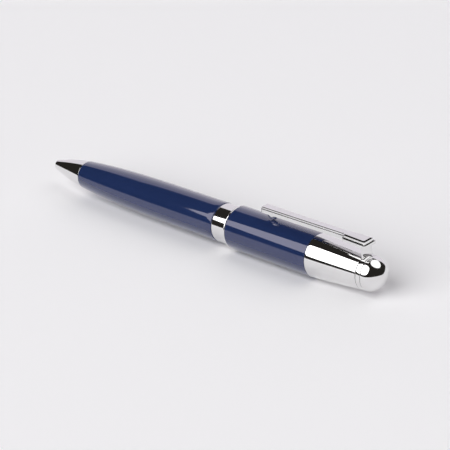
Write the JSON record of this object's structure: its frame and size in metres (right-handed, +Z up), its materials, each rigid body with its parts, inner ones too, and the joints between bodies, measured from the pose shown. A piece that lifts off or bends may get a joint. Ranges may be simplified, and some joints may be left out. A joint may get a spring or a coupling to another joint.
{
  "type": "ballpoint pen",
  "caption": "Slim twist-action ballpoint pen with lacquered barrels, plated nose, ring, sleeve and round end, and a raised flat clip; turning the upper barrel puts the point out.",
  "frame": {"origin": "centre of the bounding box's bottom face, on the surface that the pen lies on", "axes": "+X along the pen from its nose to its round end, +Z up, with the clip on top"},
  "size_m": [0.136, 0.013, 0.017],
  "materials": {
    "blue_lacquer": "high-gloss dark blue lacquer over a brass tube",
    "chrome_plate": "mirror-bright plating",
    "brass": "machined",
    "steel": "plain",
    "plastic": "moulded",
    "rubber": "moulded",
    "ink": "wet"
  },
  "bodies": {
    "lower_body": {"nose_cone": "chrome_plate", "nose_bush": "brass", "lower_barrel": "blue_lacquer", "rear_bush": "brass", "centre_ring": "chrome_plate", "mechanism_base": "brass", "friction_o_ring": "rubber", "retaining_ring": "steel", "return_spring": "steel"},
    "refill": {"refill_ball": "steel", "refill_point": "brass", "refill_neck": "brass", "refill_tube": "steel", "ink_column": "ink", "refill_end_cap": "plastic", "slider": "plastic", "follower_pin": "steel"},
    "upper_body": {"cam_sleeve": "steel", "upper_liner": "brass", "upper_barrel": "blue_lacquer", "top_sleeve": "chrome_plate", "clamp_stud": "steel", "stud_nut": "brass", "lock_washer": "steel", "clip_ring": "chrome_plate", "end_dome": "chrome_plate"},
    "clip": {"clip": "chrome_plate"}
  },
  "joints": [
    {"name": "upper_twist", "type": "hinge", "parent": "lower_body", "child": "upper_body", "pos_m": [0.01178, 0, 0.00652], "axis": [1, 0, 0], "range_deg": [0, 180]},
    {"name": "refill_slide", "type": "slide", "parent": "lower_body", "child": "refill", "axis": [-1, 0, 0], "range_m": [0, 0.0045], "deforming": ["return_spring"]},
    {"name": "clip_flex", "type": "hinge", "parent": "upper_body", "child": "clip", "pos_m": [0.06202, 0, 0.01179], "axis": [0, 1, 0], "range_deg": [0, 4], "stiffness_Nm_per_rad": 3.9}
  ],
  "couplings": [
    {"joint": "refill_slide", "follows": "upper_twist", "m_per_rad": 0.001432}
  ]
}
